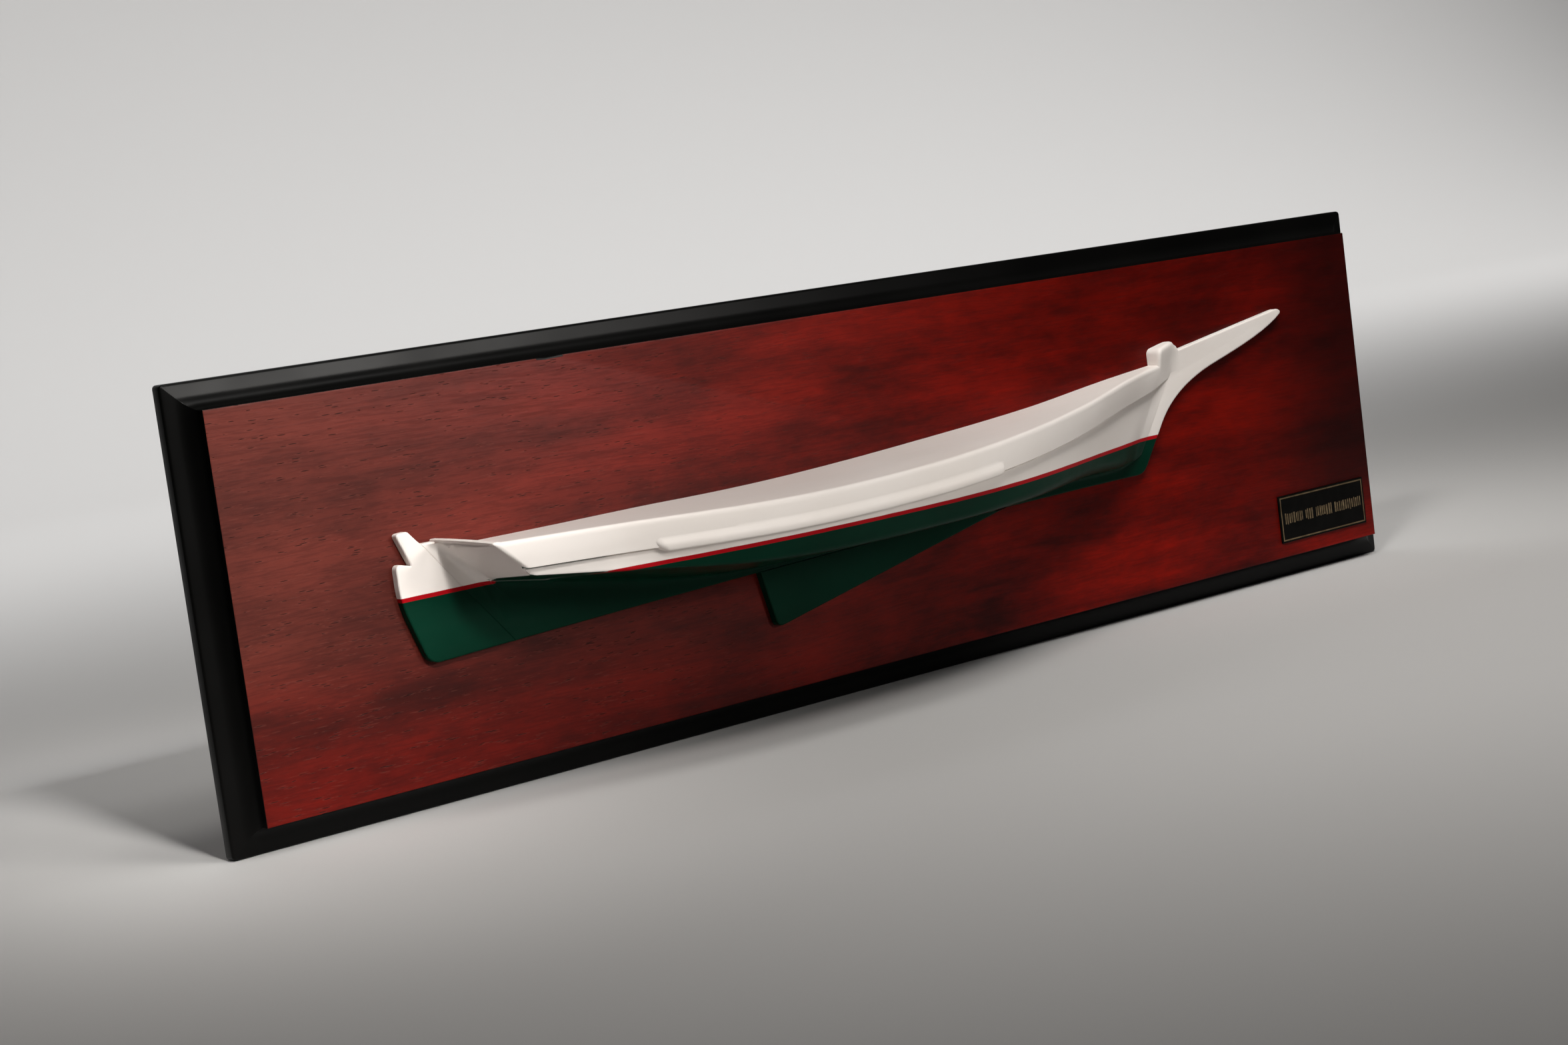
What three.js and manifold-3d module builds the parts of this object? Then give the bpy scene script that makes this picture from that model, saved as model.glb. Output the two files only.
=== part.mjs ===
import * as THREE from "three";
import { mergeVertices } from "three/addons/utils/BufferGeometryUtils.js";
import Module from "manifold-3d";

// Half hull model of a shallow centreboard sloop, carved and painted, on a moulded backboard.
// Millimetres, +Z up. The origin is the centre of the board's back face, the bow points to +X
// and the model faces -Y.

// Backboard
const boardLength = 915;
const boardHeight = 248;
const boardThickness = 22;
const mouldingWidth = 15.3;
const mouldingDepth = 13;
const quirkDepth = 3.5;
const ledgeWidth = 6;
const edgeRounding = 1.4;

// Hull, from the foot of the transom to the foot of the stem, measured at the board's mid-height
const hullLength = 524.6;
const hullShift = -39.7;
const halfBeam = 96.5;
const hullDepth = 36;
const transomRake = 1.08;
const stemRake = 0.72;
const railHeight = 16.8;
const railProud = 1.8;
const railBulge = 0.7;
const railRounding = 3;
const chineRounding = 1.5;
const bowRounding = 6;
const bilgeFillet = 16;
const sternFairing = 7;
const skinStep = 0.03;

// Rubbing pad on the rail, its ends as shares of the hull's length, its tip as a share of its height
const padStart = 0.136;
const padEnd = 0.602;
const padHeight = 8.6;
const padProud = 2.8;
const padDrop = 0.4;
const padTip = 0.15;

// Taffrail along the top of the transom, and the knightheads at the bow
const taffrailRise = 1.8;
const sternpostRise = 0.7;
const taffrailThickness = 4;
const taffrailRounding = 3.4;
const knightheadLength = 26;
const knightheadRise = 12;
const knightheadRounding = 2;

// Flat profile: sternpost, deadwood, keel, stem and longhead
const profileThickness = 5;
const profileRounding = 1;
const sternpostWidth = 8.4;
const sternpostRake = 0.798;
const keelDepthAft = 41.6;
const keelDepthFore = 28.4;
const keelSweep = 1.6;
const forefootRadius = 5.5;
const stemWidth = 10.5;
const longheadReach = 141;
const longheadRise = 64;

// Rudder
const bladeChord = 23;
const heelChord = 56;
const rudderDrop = 2.6;
const bladeHeight = 56.8;
const stockWidth = 7.5;
const stockRise = 8;
const stockRake = 0.85;
const bladeShoulder = 0.62;
const seam = 0.3;

// Centreboard, its trailing edge as a share of the hull's length
const centreboardStart = 0.363;
const centreboardLength = 198.5;
const centreboardDrop = 34.7;
const centreboardRake = 0.23;
const centreboardHeel = 5;

// Name plate
const plateLength = 90;
const plateHeight = 33;
const plateThickness = 1.2;
const plateMarginSide = 9.2;
const plateMarginBelow = 10.2;

const wasm = await Module();
wasm.setup();

const faceHalfLength = boardLength / 2 - mouldingWidth;
const faceHalfHeight = boardHeight / 2 - mouldingWidth;

// A smooth function through a few points, each a place along a line and the value there
function fairCurve(points) {
  const slope = (i) => {
    const before = points[Math.max(i - 1, 0)];
    const after = points[Math.min(i + 1, points.length - 1)];
    return (after[1] - before[1]) / (after[0] - before[0]);
  };
  return (at) => {
    let i = 0;
    while (i < points.length - 2 && at > points[i + 1][0]) {
      i += 1;
    }
    const [start, from] = points[i];
    const [end, to] = points[i + 1];
    const span = end - start;
    const t = (at - start) / span;
    const rise = t * t * (3 - 2 * t);
    const bend = t * (1 - t) * span;
    return from + (to - from) * rise + bend * ((1 - t) * slope(i) - t * slope(i + 1));
  };
}

// Hull lines, as shares of the half beam or of the hull's depth against shares of its length
const deckPlan = fairCurve([
  [0, 0.655], [0.11, 0.785], [0.2, 0.91], [0.3, 0.985], [0.43, 1],
  [0.53, 0.975], [0.65, 0.83], [0.8, 0.51], [0.93, 0.18], [0.975, 0.09], [1, 0.053],
]);
const chinePlan = fairCurve([
  [0, 0.62], [0.09, 0.745], [0.22, 0.86], [0.35, 0.885], [0.5, 0.88],
  [0.6, 0.84], [0.7, 0.71], [0.85, 0.385], [0.94, 0.2], [0.98, 0.09], [1, 0.053],
]);
const sheer = fairCurve([
  [0, 0.555], [0.12, 0.515], [0.3, 0.44], [0.43, 0.465],
  [0.6, 0.6], [0.78, 0.8], [0.9, 1.03], [1, 1.2],
]);
const deckCrown = fairCurve([[0, -0.105], [0.12, -0.065], [0.27, 0.012], [0.6, 0.012], [1, 0.005]]);
const chineLine = fairCurve([
  [0, -0.05], [0.1, -0.235], [0.22, -0.45], [0.34, -0.55],
  [0.5, -0.545], [0.68, -0.495], [0.85, -0.455], [0.94, -0.525], [0.985, -0.5], [1, -0.42],
]);
const deadrise = fairCurve([[0, 0.075], [0.25, 0.14], [1, 0.18]]);
const railTaper = fairCurve([[0, 0.98], [0.3, 1], [0.9, 1.05], [0.97, 0.97], [1, 0.72]]);

// The height of the rubbing pad's underside below the sheer, as a share of the rail's height
const padFoot = fairCurve([[0.13, 1.06], [0.35, 0.97], [0.6, 1]]);

// The top of the knightheads above the sheer's end, as shares of their length and rise
const headLine = [
  [0, 0.6], [0.05, 0.7], [0.14, 0.77], [0.3, 0.85], [0.45, 0.92],
  [0.68, 1], [0.77, 0.97], [0.81, 0.82], [0.93, 0.76], [1, 0.52],
];

const transomFoot = hullShift - hullLength / 2;
const stemFoot = hullShift + hullLength / 2;
const sternpostTop = hullDepth * sheer(0) + sternpostRise;
const skinOut = profileThickness + skinStep;

// The place of a station at a height: raked like the transom aft and like the stem forward
function stationX(share, height) {
  const lean = stemRake * share ** 3 - transomRake * (1 - share) ** 3;
  return transomFoot + hullLength * share + height * lean;
}

// The share of the hull's length at a place and a height
function shareAt(x, height) {
  let share = 1;
  for (let i = 0; i < 8; i += 1) {
    share = THREE.MathUtils.clamp(share + (x - stationX(share, height)) / hullLength, 0, 1);
  }
  return share;
}

function sheerHeight(share) {
  return hullDepth * sheer(share);
}

function deckHeight(share) {
  return hullDepth * (sheer(share) + deckCrown(share));
}

function railDepth(share) {
  return railHeight * railTaper(share);
}

function railOut(share) {
  return Math.max(halfBeam * deckPlan(share), profileThickness);
}

// The keel's underside, straight aft and levelling out towards the forefoot
const keelAft = new THREE.Vector2(sternpostX(-keelDepthAft), -keelDepthAft);
const keelFore = new THREE.Vector2(stemX(-keelDepthFore), -keelDepthFore);

function sternpostX(height) {
  const top = transomFoot - transomRake * sheerHeight(0) - sternpostWidth;
  return top + sternpostRake * (sheerHeight(0) - height);
}

// The stem's front edge below the longhead
function stemX(height) {
  return stemFoot + stemWidth + stemRake * height;
}

function keelHeight(x) {
  const left = Math.max((keelFore.x - x) / (keelFore.x - keelAft.x), 0);
  const rise = keelFore.y - keelAft.y;
  return keelAft.y + rise * (1 - left ** keelSweep);
}

// A closed surface over rings of equally many points
function skin(rings, flat) {
  const count = rings[0].length;
  const positions = rings.flat().flatMap((point) => point.toArray());
  const faces = [];
  for (let i = 0; i + 1 < rings.length; i += 1) {
    for (let j = 0; j < count; j += 1) {
      const a = i * count + j;
      const b = i * count + ((j + 1) % count);
      faces.push(a, b, b + count, a, b + count, a + count);
    }
  }
  const addCap = (ring, offset, withRing) => {
    const outline = ring.map(flat);
    const turn = Math.sign(THREE.ShapeUtils.area(outline));
    THREE.ShapeUtils.triangulateShape(outline, []).forEach(([a, b, c]) => {
      const own = Math.sign(THREE.ShapeUtils.area([outline[a], outline[b], outline[c]]));
      const keep = (own === turn) === withRing;
      faces.push(offset + a, offset + (keep ? b : c), offset + (keep ? c : b));
    });
  };
  addCap(rings[0], 0, false);
  addCap(rings[rings.length - 1], (rings.length - 1) * count, true);
  const geometry = new THREE.BufferGeometry();
  geometry.setAttribute("position", new THREE.Float32BufferAttribute(positions, 3));
  geometry.setIndex(faces);
  return geometry;
}

function signedVolume(geometry) {
  const points = geometry.getAttribute("position");
  const index = geometry.getIndex();
  const [a, b, c] = [new THREE.Vector3(), new THREE.Vector3(), new THREE.Vector3()];
  let total = 0;
  for (let i = 0; i < index.count; i += 3) {
    a.fromBufferAttribute(points, index.getX(i));
    b.fromBufferAttribute(points, index.getX(i + 1));
    c.fromBufferAttribute(points, index.getX(i + 2));
    total += a.dot(b.cross(c)) / 6;
  }
  return total;
}

// A closed geometry as a solid for joining and cutting
function solidOf(geometry) {
  const bare = geometry.clone();
  bare.deleteAttribute("normal");
  bare.deleteAttribute("uv");
  const merged = mergeVertices(bare, 1e-4);
  const triangles = new Uint32Array(merged.getIndex().array);
  if (signedVolume(merged) < 0) {
    for (let i = 0; i < triangles.length; i += 3) {
      [triangles[i + 1], triangles[i + 2]] = [triangles[i + 2], triangles[i + 1]];
    }
  }
  const vertProperties = new Float32Array(merged.getAttribute("position").array);
  return new wasm.Manifold(new wasm.Mesh({ numProp: 3, vertProperties, triVerts: triangles }));
}

function geometryOf(solid) {
  const mesh = solid.getMesh();
  const geometry = new THREE.BufferGeometry();
  geometry.setAttribute("position", new THREE.Float32BufferAttribute(mesh.vertProperties, 3));
  geometry.setIndex(new THREE.Uint32BufferAttribute(mesh.triVerts, 1));
  geometry.computeVertexNormals();
  return geometry;
}

// Cuts away all that lies behind the board's face
function seatOnFace(solid) {
  return solid.trimByPlane([0, 0, 1], 0);
}

// A flat piece standing proud of the board's face, its front edge rounded
function flatPiece(shape, thickness, rounding) {
  const geometry = new THREE.ExtrudeGeometry(shape, {
    depth: thickness,
    bevelThickness: rounding,
    bevelSize: rounding,
    bevelOffset: -rounding,
    bevelSegments: 2,
    curveSegments: 10,
  });
  geometry.translate(0, 0, -rounding);
  return solidOf(geometry);
}

// Replaces each corner of an outline by a short curve that starts a given distance before it
function easedOutline(corners, steps) {
  const points = [];
  corners.forEach(([x, y, easing], i) => {
    const corner = new THREE.Vector2(x, y);
    if (!easing) {
      points.push(corner);
      return;
    }
    const toward = (j) => new THREE.Vector2(corners[j][0], corners[j][1]).sub(corner);
    const before = toward((i + corners.length - 1) % corners.length);
    const after = toward((i + 1) % corners.length);
    const reach = Math.min(easing, 0.45 * before.length(), 0.45 * after.length());
    const from = corner.clone().add(before.setLength(reach));
    const to = corner.clone().add(after.setLength(reach));
    const curve = new THREE.QuadraticBezierCurve(from, corner, to);
    points.push(...curve.getPoints(steps));
  });
  return points;
}

// Backboard: one board with a cove moulding run round its edge
function backboard() {
  const nosing = mouldingWidth - edgeRounding;
  const eased = edgeRounding * (1 - Math.SQRT1_2);
  const profile = [
    [mouldingWidth, -boardThickness],
    [mouldingWidth, -mouldingDepth - edgeRounding],
    [mouldingWidth - eased, -mouldingDepth - eased],
    [nosing, -mouldingDepth],
  ];
  const coveSteps = 8;
  const coveWidth = mouldingWidth - ledgeWidth;
  for (let i = 0; i <= coveSteps; i += 1) {
    const turn = (Math.PI / 2) * (1 - i / coveSteps);
    const out = coveWidth * (1 - Math.cos(turn));
    const back = quirkDepth + (mouldingDepth - quirkDepth) * Math.sin(turn);
    profile.push([out, -back]);
  }
  profile.push([0, 0]);
  const rings = profile.map(([out, z]) => {
    const x = faceHalfLength + out;
    const y = faceHalfHeight + out;
    return [[-x, -y], [x, -y], [x, y], [-x, y]].map((point) => new THREE.Vector3(...point, z));
  });
  return solidOf(skin(rings, (point) => new THREE.Vector2(point.x, point.y)));
}

// One section of the hull, as places proud of the board and heights, from the deck at the board
// round by the rail, the topside and the bilge to the keel
function hullSection(share) {
  const out = railOut(share);
  const top = sheerHeight(share);
  const low = top - railDepth(share);
  const side = Math.max(out - railProud, profileThickness);
  const chineOut = Math.max(halfBeam * chinePlan(share), profileThickness);
  const chineHeight = hullDepth * chineLine(share);
  const falling = chineHeight - deadrise(share) * (chineOut - profileThickness);
  const keel = keelHeight(stationX(share, falling)) + profileRounding;
  const keelTop = Math.max(falling, keel + profileRounding);
  const fillet = Math.min(bilgeFillet, keelTop - keel);
  const corners = [
    [-profileThickness, deckHeight(share), 0],
    [0, deckHeight(share), 0],
    [out, top, railRounding],
    [out + railBulge, (top + low) / 2, railHeight / 4],
    [out, low, 0],
    [side, low + railProud / 4, 0],
    [chineOut, chineHeight, THREE.MathUtils.lerp(chineRounding, bowRounding, share)],
    [skinOut, keelTop, fillet],
    [skinOut, keelTop - fillet, 0],
    [-profileThickness, keelTop - fillet, 0],
  ];
  return easedOutline(corners, 3);
}

// The lesser of two lengths, with a smooth passage between them
function softLesser(a, b) {
  return (a ** -3 + b ** -3) ** (-1 / 3);
}

// The fairing behind the transom: the section there, narrowed in a hollow curve on to the
// sternpost's side and filled up to the sheer
function fairingSection(aft) {
  const narrowed = skinOut + sternFairing * (1 - Math.sqrt(1 - (1 - aft) ** 2));
  const deckPoints = 2;
  return hullSection(0).map(({ x, y }, i) => {
    const out = x > 0 ? softLesser(x, narrowed) : x / 2;
    return new THREE.Vector2(out, i < deckPoints ? sheerHeight(0) : y);
  });
}

function hullBody() {
  const ring = (outline, share, shift) =>
    outline.map(({ x, y }) => new THREE.Vector3(stationX(share, y) + shift, y, x));
  const rings = [1, 0.6, 0.35, 0.15, 0].map((aft) => ring(fairingSection(aft), 0, -aft * sternFairing));
  const stations = 48;
  for (let i = 0; i <= stations; i += 1) {
    const turn = (2 * Math.PI * i) / stations;
    const share = (turn - Math.sin(turn) / 3) / (2 * Math.PI);
    rings.push(ring(hullSection(share), share, 0));
  }
  return solidOf(skin(rings, (point) => new THREE.Vector2(point.z, point.y)));
}

// The flat profile: sternpost, deadwood, keel, stem and longhead in one outline
function profile() {
  const shape = new THREE.Shape();
  const innerShare = 0.1;
  const inner = transomFoot + hullLength * innerShare;
  shape.moveTo(sternpostX(sternpostTop), sternpostTop);
  shape.lineTo(keelAft.x, keelAft.y);
  const keelSteps = 16;
  const foot = keelFore.x - forefootRadius;
  for (let i = 1; i <= keelSteps; i += 1) {
    const x = keelAft.x + ((foot - keelAft.x) * i) / keelSteps;
    shape.lineTo(x, keelHeight(x));
  }
  const rounded = forefootRadius - keelDepthFore;
  shape.quadraticCurveTo(keelFore.x, keelFore.y, stemX(rounded), rounded);
  shape.lineTo(stemX(0), 0);
  const head = (along, up) => [stemFoot + longheadReach * along, longheadRise * up];
  shape.bezierCurveTo(...head(0.157, 0.28), ...head(0.312, 0.453), ...head(0.504, 0.563));
  shape.bezierCurveTo(...head(0.66, 0.656), ...head(0.872, 0.781), ...head(0.982, 0.938));
  shape.bezierCurveTo(...head(0.998, 0.956), ...head(0.992, 1), ...head(0.957, 1));
  shape.lineTo(...head(0.9, 0.983));
  const root = sheerHeight(1);
  shape.lineTo(stationX(1, root) - stemWidth, root + longheadRise / 20);
  shape.lineTo(stationX(1, root) - 2 * stemWidth, root - railHeight / 2);
  shape.lineTo(stemFoot - 2 * stemWidth, 0);
  shape.lineTo(inner, 0);
  shape.lineTo(inner, sheerHeight(innerShare) / 2);
  shape.lineTo(stationX(0, sternpostTop), sternpostTop);
  return flatPiece(shape, profileThickness, profileRounding);
}

// A rounded pad along the rail's outer side
function rubbingPad() {
  const stations = 28;
  const rings = [];
  for (let i = 0; i <= stations; i += 1) {
    const turn = (Math.PI * i) / stations;
    const share = padStart + ((padEnd - padStart) * (1 - Math.cos(turn))) / 2;
    const fromEnd = Math.min(share - padStart, padEnd - share) * hullLength;
    const close = Math.min(fromEnd / (padHeight / 2), 1);
    const full = Math.max(Math.sqrt(1 - (1 - close) ** 2), padTip);
    const lowest = sheerHeight(share) - railDepth(share) * padFoot(share) - padDrop;
    const middle = lowest + padHeight / 2;
    const half = (padHeight / 2) * full;
    const inside = railOut(share) - railProud * 2;
    const outside = railOut(share) + padProud * full;
    const shoulder = outside - padProud / 6;
    const easing = (padProud * 2) / 3;
    const corners = [
      [inside, middle + half, 0],
      [shoulder, middle + half, easing],
      [outside, middle, half / 2],
      [shoulder, middle - half, easing],
      [inside, middle - half, 0],
    ];
    const ring = easedOutline(corners, 2);
    rings.push(ring.map((point) => new THREE.Vector3(stationX(share, point.y), point.y, point.x)));
  }
  return solidOf(skin(rings, (point) => new THREE.Vector2(point.z, point.y)));
}

// The taffrail: a thin raised edge in the plane of the transom, rounded aft and slightly crowned
function taffrail() {
  const end = railOut(0) - railRounding / 2;
  const low = sheerHeight(0) - 2 * taffrailRounding;
  const rings = [];
  const steps = 8;
  for (let i = 0; i <= steps; i += 1) {
    const out = -profileThickness + ((end + profileThickness) * i) / steps;
    const top = sheerHeight(0) + taffrailRise * (1 - (out / end) ** 2);
    const corners = [
      [0, low, 0],
      [0, top, taffrailRounding],
      [taffrailThickness, top, taffrailThickness / 4],
      [taffrailThickness, low, 0],
    ];
    const outline = easedOutline(corners, 3);
    rings.push(outline.map(({ x, y }) => new THREE.Vector3(stationX(0, y) + x, y, out)));
  }
  return solidOf(skin(rings, (point) => new THREE.Vector2(point.x, point.y)));
}

// The knightheads: a low block that carries the rail's side up and closes the bow against the stem
function knightheads() {
  const endX = stationX(1, sheerHeight(1) + knightheadRise / 2);
  const rings = headLine.map(([along, rise]) => {
    const x = endX - knightheadLength * (1 - along);
    const top = sheerHeight(1) + knightheadRise * rise;
    const low = deckHeight(shareAt(x, sheerHeight(1))) - railHeight / 2;
    const outAt = (height) => {
      const side = railOut(shareAt(x, height)) + railBulge / 2;
      return THREE.MathUtils.lerp(side, profileThickness - skinStep, along ** 4);
    };
    const corners = [
      [-profileThickness, low, 0],
      [outAt(low), low, 0],
      [outAt(top), top, knightheadRounding],
      [-profileThickness, top, 0],
    ];
    return easedOutline(corners, 3).map((point) => new THREE.Vector3(x, point.y, point.x));
  });
  return solidOf(skin(rings, (point) => new THREE.Vector2(point.z, point.y)));
}

function halfHull() {
  const parts = [profile(), rubbingPad(), taffrail(), knightheads()];
  return seatOnFace(parts.reduce((whole, part) => whole.add(part), hullBody()));
}

// The rudder: a blade behind the sternpost, with its stock rising past the taffrail
function rudder() {
  const edge = (height) => sternpostX(height) - seam;
  const stockTop = sternpostTop + stockRise;
  const stockX = edge(sternpostTop) - stockRise * stockRake;
  const low = -keelDepthAft - rudderDrop;
  const bladeTop = low + bladeHeight;
  const bladeX = edge(bladeTop) - bladeChord;
  const corners = [
    [edge(-keelDepthAft), -keelDepthAft, 0],
    [edge(sternpostTop), sternpostTop, 0],
    [stockX, stockTop, stockWidth / 5],
    [stockX - stockWidth, stockTop - stockWidth / 12, stockWidth / 3],
    [bladeX + (stockWidth * 5) / 4, bladeTop - stockWidth / 3, 0],
    [bladeX, bladeTop, bladeChord / 5],
    [bladeX, low + bladeHeight * bladeShoulder, bladeChord / 2],
    [edge(low) - heelChord, low, heelChord / 8],
  ];
  const shape = new THREE.Shape(easedOutline(corners, 4));
  return seatOnFace(flatPiece(shape, profileThickness, profileRounding));
}

// The centreboard: a flat fin under the keel, deepest at its trailing edge
function centreboard() {
  const start = stationX(centreboardStart, 0);
  const end = start + centreboardLength;
  const under = (x) => keelHeight(x) - seam;
  const corners = [];
  const steps = 8;
  for (let i = 0; i <= steps; i += 1) {
    const x = end - (centreboardLength * i) / steps;
    corners.push([x, under(x), 0]);
  }
  const heel = start + centreboardDrop * centreboardRake;
  corners.push([heel, under(start) - centreboardDrop, centreboardHeel]);
  const shape = new THREE.Shape(easedOutline(corners, 4));
  return seatOnFace(flatPiece(shape, profileThickness, profileRounding));
}

function namePlate() {
  const geometry = new THREE.BoxGeometry(plateLength, plateHeight, plateThickness);
  const x = faceHalfLength - plateMarginSide - plateLength / 2;
  const y = -faceHalfHeight + plateMarginBelow + plateHeight / 2;
  geometry.translate(x, y, plateThickness / 2);
  return solidOf(geometry);
}

const stainedWood = { color: 0x5c1a12, roughness: 0.4, metalness: 0 };
const whitePaint = { color: 0xf0e8e2, roughness: 0.45, metalness: 0 };
const greenPaint = { color: 0x0b3f2d, roughness: 0.45, metalness: 0 };
const blackPlate = { color: 0x141210, roughness: 0.35, metalness: 0.6 };

// Everything is drawn on the board's face, X to the right, Y up and Z proud of it
const face = new THREE.Group();
face.rotation.x = Math.PI / 2;
face.position.y = -boardThickness;

function place(name, solid, finish) {
  const mesh = new THREE.Mesh(geometryOf(solid), new THREE.MeshStandardMaterial(finish));
  mesh.name = name;
  face.add(mesh);
}

place("backboard", backboard(), stainedWood);
place("half_hull", halfHull(), whitePaint);
place("rudder", rudder(), whitePaint);
place("centreboard", centreboard(), greenPaint);
place("name_plate", namePlate(), blackPlate);

const group = new THREE.Group();
group.add(face);

export default group;
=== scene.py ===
import math

import bpy
import numpy as np
from mathutils import Matrix, Vector


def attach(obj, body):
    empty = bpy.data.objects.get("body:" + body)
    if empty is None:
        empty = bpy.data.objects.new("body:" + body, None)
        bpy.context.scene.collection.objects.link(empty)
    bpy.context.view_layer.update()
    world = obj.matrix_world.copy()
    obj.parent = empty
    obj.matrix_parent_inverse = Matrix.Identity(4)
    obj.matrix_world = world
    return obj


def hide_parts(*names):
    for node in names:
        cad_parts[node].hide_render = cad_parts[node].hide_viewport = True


# Half hull model on its backboard. The shapes are worked out in millimetres on the board's
# red face, X to the bow, Y up and Z proud of the face, and placed in metres.

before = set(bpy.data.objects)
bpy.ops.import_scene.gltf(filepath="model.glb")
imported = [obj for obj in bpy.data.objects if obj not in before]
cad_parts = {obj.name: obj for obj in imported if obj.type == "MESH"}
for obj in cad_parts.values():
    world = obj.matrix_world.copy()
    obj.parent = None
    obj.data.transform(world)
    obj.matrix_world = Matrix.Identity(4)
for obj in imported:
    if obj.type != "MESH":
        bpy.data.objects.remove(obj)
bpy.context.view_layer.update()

MM = 0.001
QUARTERS = [(1, 1), (-1, 1), (-1, -1), (1, -1)]

# Backboard
BOARD_LENGTH = 915
BOARD_HEIGHT = 248
BOARD_THICKNESS = 22
BOARD_CORNER = 2
BACK_INSET = 2.5
BACK_ROUNDING = 0.8
MOULDING_WIDTH = 15.3
MOULDING_DEPTH = 13
QUIRK_DEPTH = 3.5
QUIRK_WIDTH = 0.02
LEDGE_WIDTH = 6
LEDGE_FALL = 0.7
LEDGE_CORNER = 0.3
EDGE_ROUNDING = 1.4
NOSING_CORNER = 0.6
ARRIS = 0.25
FACE_BAND = 1.2
FACE_HALF_LENGTH = BOARD_LENGTH / 2 - MOULDING_WIDTH
FACE_HALF_HEIGHT = BOARD_HEIGHT / 2 - MOULDING_WIDTH

# Chip in the top edge of the face
CHIP_X = -233
CHIP_LENGTH = 4
CHIP_HEIGHT = 2
CHIP_REACH = 3
CHIP_DEPTH = 0.8
CHIP_DROP = 0.7

# Hull
HULL_LENGTH = 524.6
HULL_SHIFT = -39.7
HALF_BEAM = 96.5
HULL_DEPTH = 36
TRANSOM_RAKE = 1.08
STEM_RAKE = 0.72
RAIL_HEIGHT = 16.8
RAIL_PROUD = 2.4
RAIL_BULGE = 0.9
BULGE_FADE = 0.03
RAIL_ROUNDING = 3
LIP_BULGE = 0.9
LIP_ROUNDING = 0.4
RAIL_GROOVE = 1.2
GROOVE_SHARE_AFT = 0.4
GROOVE_UNDERCUT = 0.3
GROOVE_SLOPE = 0.9
GROOVE_ROUNDING = 0.25
CHINE_ROUNDING = 1.5
BOW_ROUNDING = 6
BILGE_FILLET = 16
STERN_FAIRING = 7
TRANSOM_ROUNDING = 1.4
TRANSOM_EDGE_LENGTH = 1.3 * TRANSOM_ROUNDING
TRANSOM_EDGE_START = 12
TRANSOM_EDGE_FADE = 10
# How many parts each run of a section is divided into, from the deck round to the keel
SECTION_DIVISIONS = [1, 14, 3, 3, 1, 1, 1, 10, 14, 1, 2, 1]

# Rubbing pad, taffrail and knightheads
PAD_START = 0.136
PAD_END = 0.602
PAD_HEIGHT = 8.6
PAD_PROUD = 2.75
PAD_DROP = 1.6
PAD_TIP = 0.15
PAD_EASING = 0.5
TAFFRAIL_RISE = 1.8
TAFFRAIL_THICKNESS = 6
TAFFRAIL_ROUNDING = 3.4
KNIGHTHEAD_LENGTH = 26
KNIGHTHEAD_RISE = 12
KNIGHTHEAD_ROUNDING = 4
KNIGHTHEAD_NOSE = 3

# Flat profile, rudder and centreboard
BEHIND_FACE = -3
PROFILE_THICKNESS = 5
PROFILE_ROUNDING = 1
SKIN_STEP = 0.03
STERNPOST_WIDTH = 8.4
STERNPOST_RAKE = 0.798
STERNPOST_RISE = 0.7
KEEL_DEPTH_AFT = 41.6
KEEL_DEPTH_FORE = 28.4
KEEL_SWEEP = 1.6
FOREFOOT_RADIUS = 5.5
STEM_WIDTH = 10.5
LONGHEAD_REACH = 141
LONGHEAD_RISE = 64
BLADE_CHORD = 23
HEEL_CHORD = 56
RUDDER_DROP = 2.6
BLADE_HEIGHT = 56.8
BLADE_SHOULDER = 0.62
STOCK_WIDTH = 7.5
STOCK_RISE = 8
STOCK_RAKE = 0.85
SEAM = 0.02
SEAM_ROUNDING = 0.7
BLADE_ROUNDING = 0.05
CENTREBOARD_START = 0.363
CENTREBOARD_LENGTH = 198.5
CENTREBOARD_DROP = 34.7
CENTREBOARD_RAKE = 0.23
CENTREBOARD_HEEL = 5

# Name plate
PLATE_LENGTH = 90
PLATE_HEIGHT = 33
PLATE_THICKNESS = 1.2
PLATE_CORNER = 0.6
PLATE_ARRIS = 0.25
PLATE_RINGS = (0.2, 0.4, 0.6, 0.8, 0.97)
PLATE_MARGIN_SIDE = 9.2
PLATE_MARGIN_BELOW = 10.2
PLATE_X = FACE_HALF_LENGTH - PLATE_MARGIN_SIDE - PLATE_LENGTH / 2
PLATE_Y = -FACE_HALF_HEIGHT + PLATE_MARGIN_BELOW + PLATE_HEIGHT / 2

# The row of strokes on the plate, with the numbers of strokes after which it breaks off, and the
# ranges that their measures are drawn from
ROW_HALF_LENGTH = 40
ROW_BREAKS = (9, 13, 21)
ROW_BREAK_WIDTH = 2.4
STROKE_WIDTHS = (0.7, 1.6)
STROKE_HEIGHTS = (0.75, 1)
STROKE_SHIFTS = (-0.25, 0.25)
STROKE_GAPS = (0.8, 1.3)
STROKE_HALF_HEIGHT = 3.9
STROKE_SUNK = 0.15
STROKE_PROUD = 0.12
STROKE_BEVEL = 0.08
STROKE_INSET = 0.12


def fair_curve(points):
    """A smooth function through a few points."""
    at = [p[0] for p in points]
    value = [p[1] for p in points]
    last = len(points) - 1

    def slope(i):
        a, b = max(i - 1, 0), min(i + 1, last)
        return (value[b] - value[a]) / (at[b] - at[a])

    def curve(x):
        i = 0
        while i < last - 1 and x > at[i + 1]:
            i += 1
        span = at[i + 1] - at[i]
        t = (x - at[i]) / span
        rise = t * t * (3 - 2 * t)
        bend = t * (1 - t) * span
        ends = (1 - t) * slope(i) - t * slope(i + 1)
        return value[i] + (value[i + 1] - value[i]) * rise + bend * ends

    return curve


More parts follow.
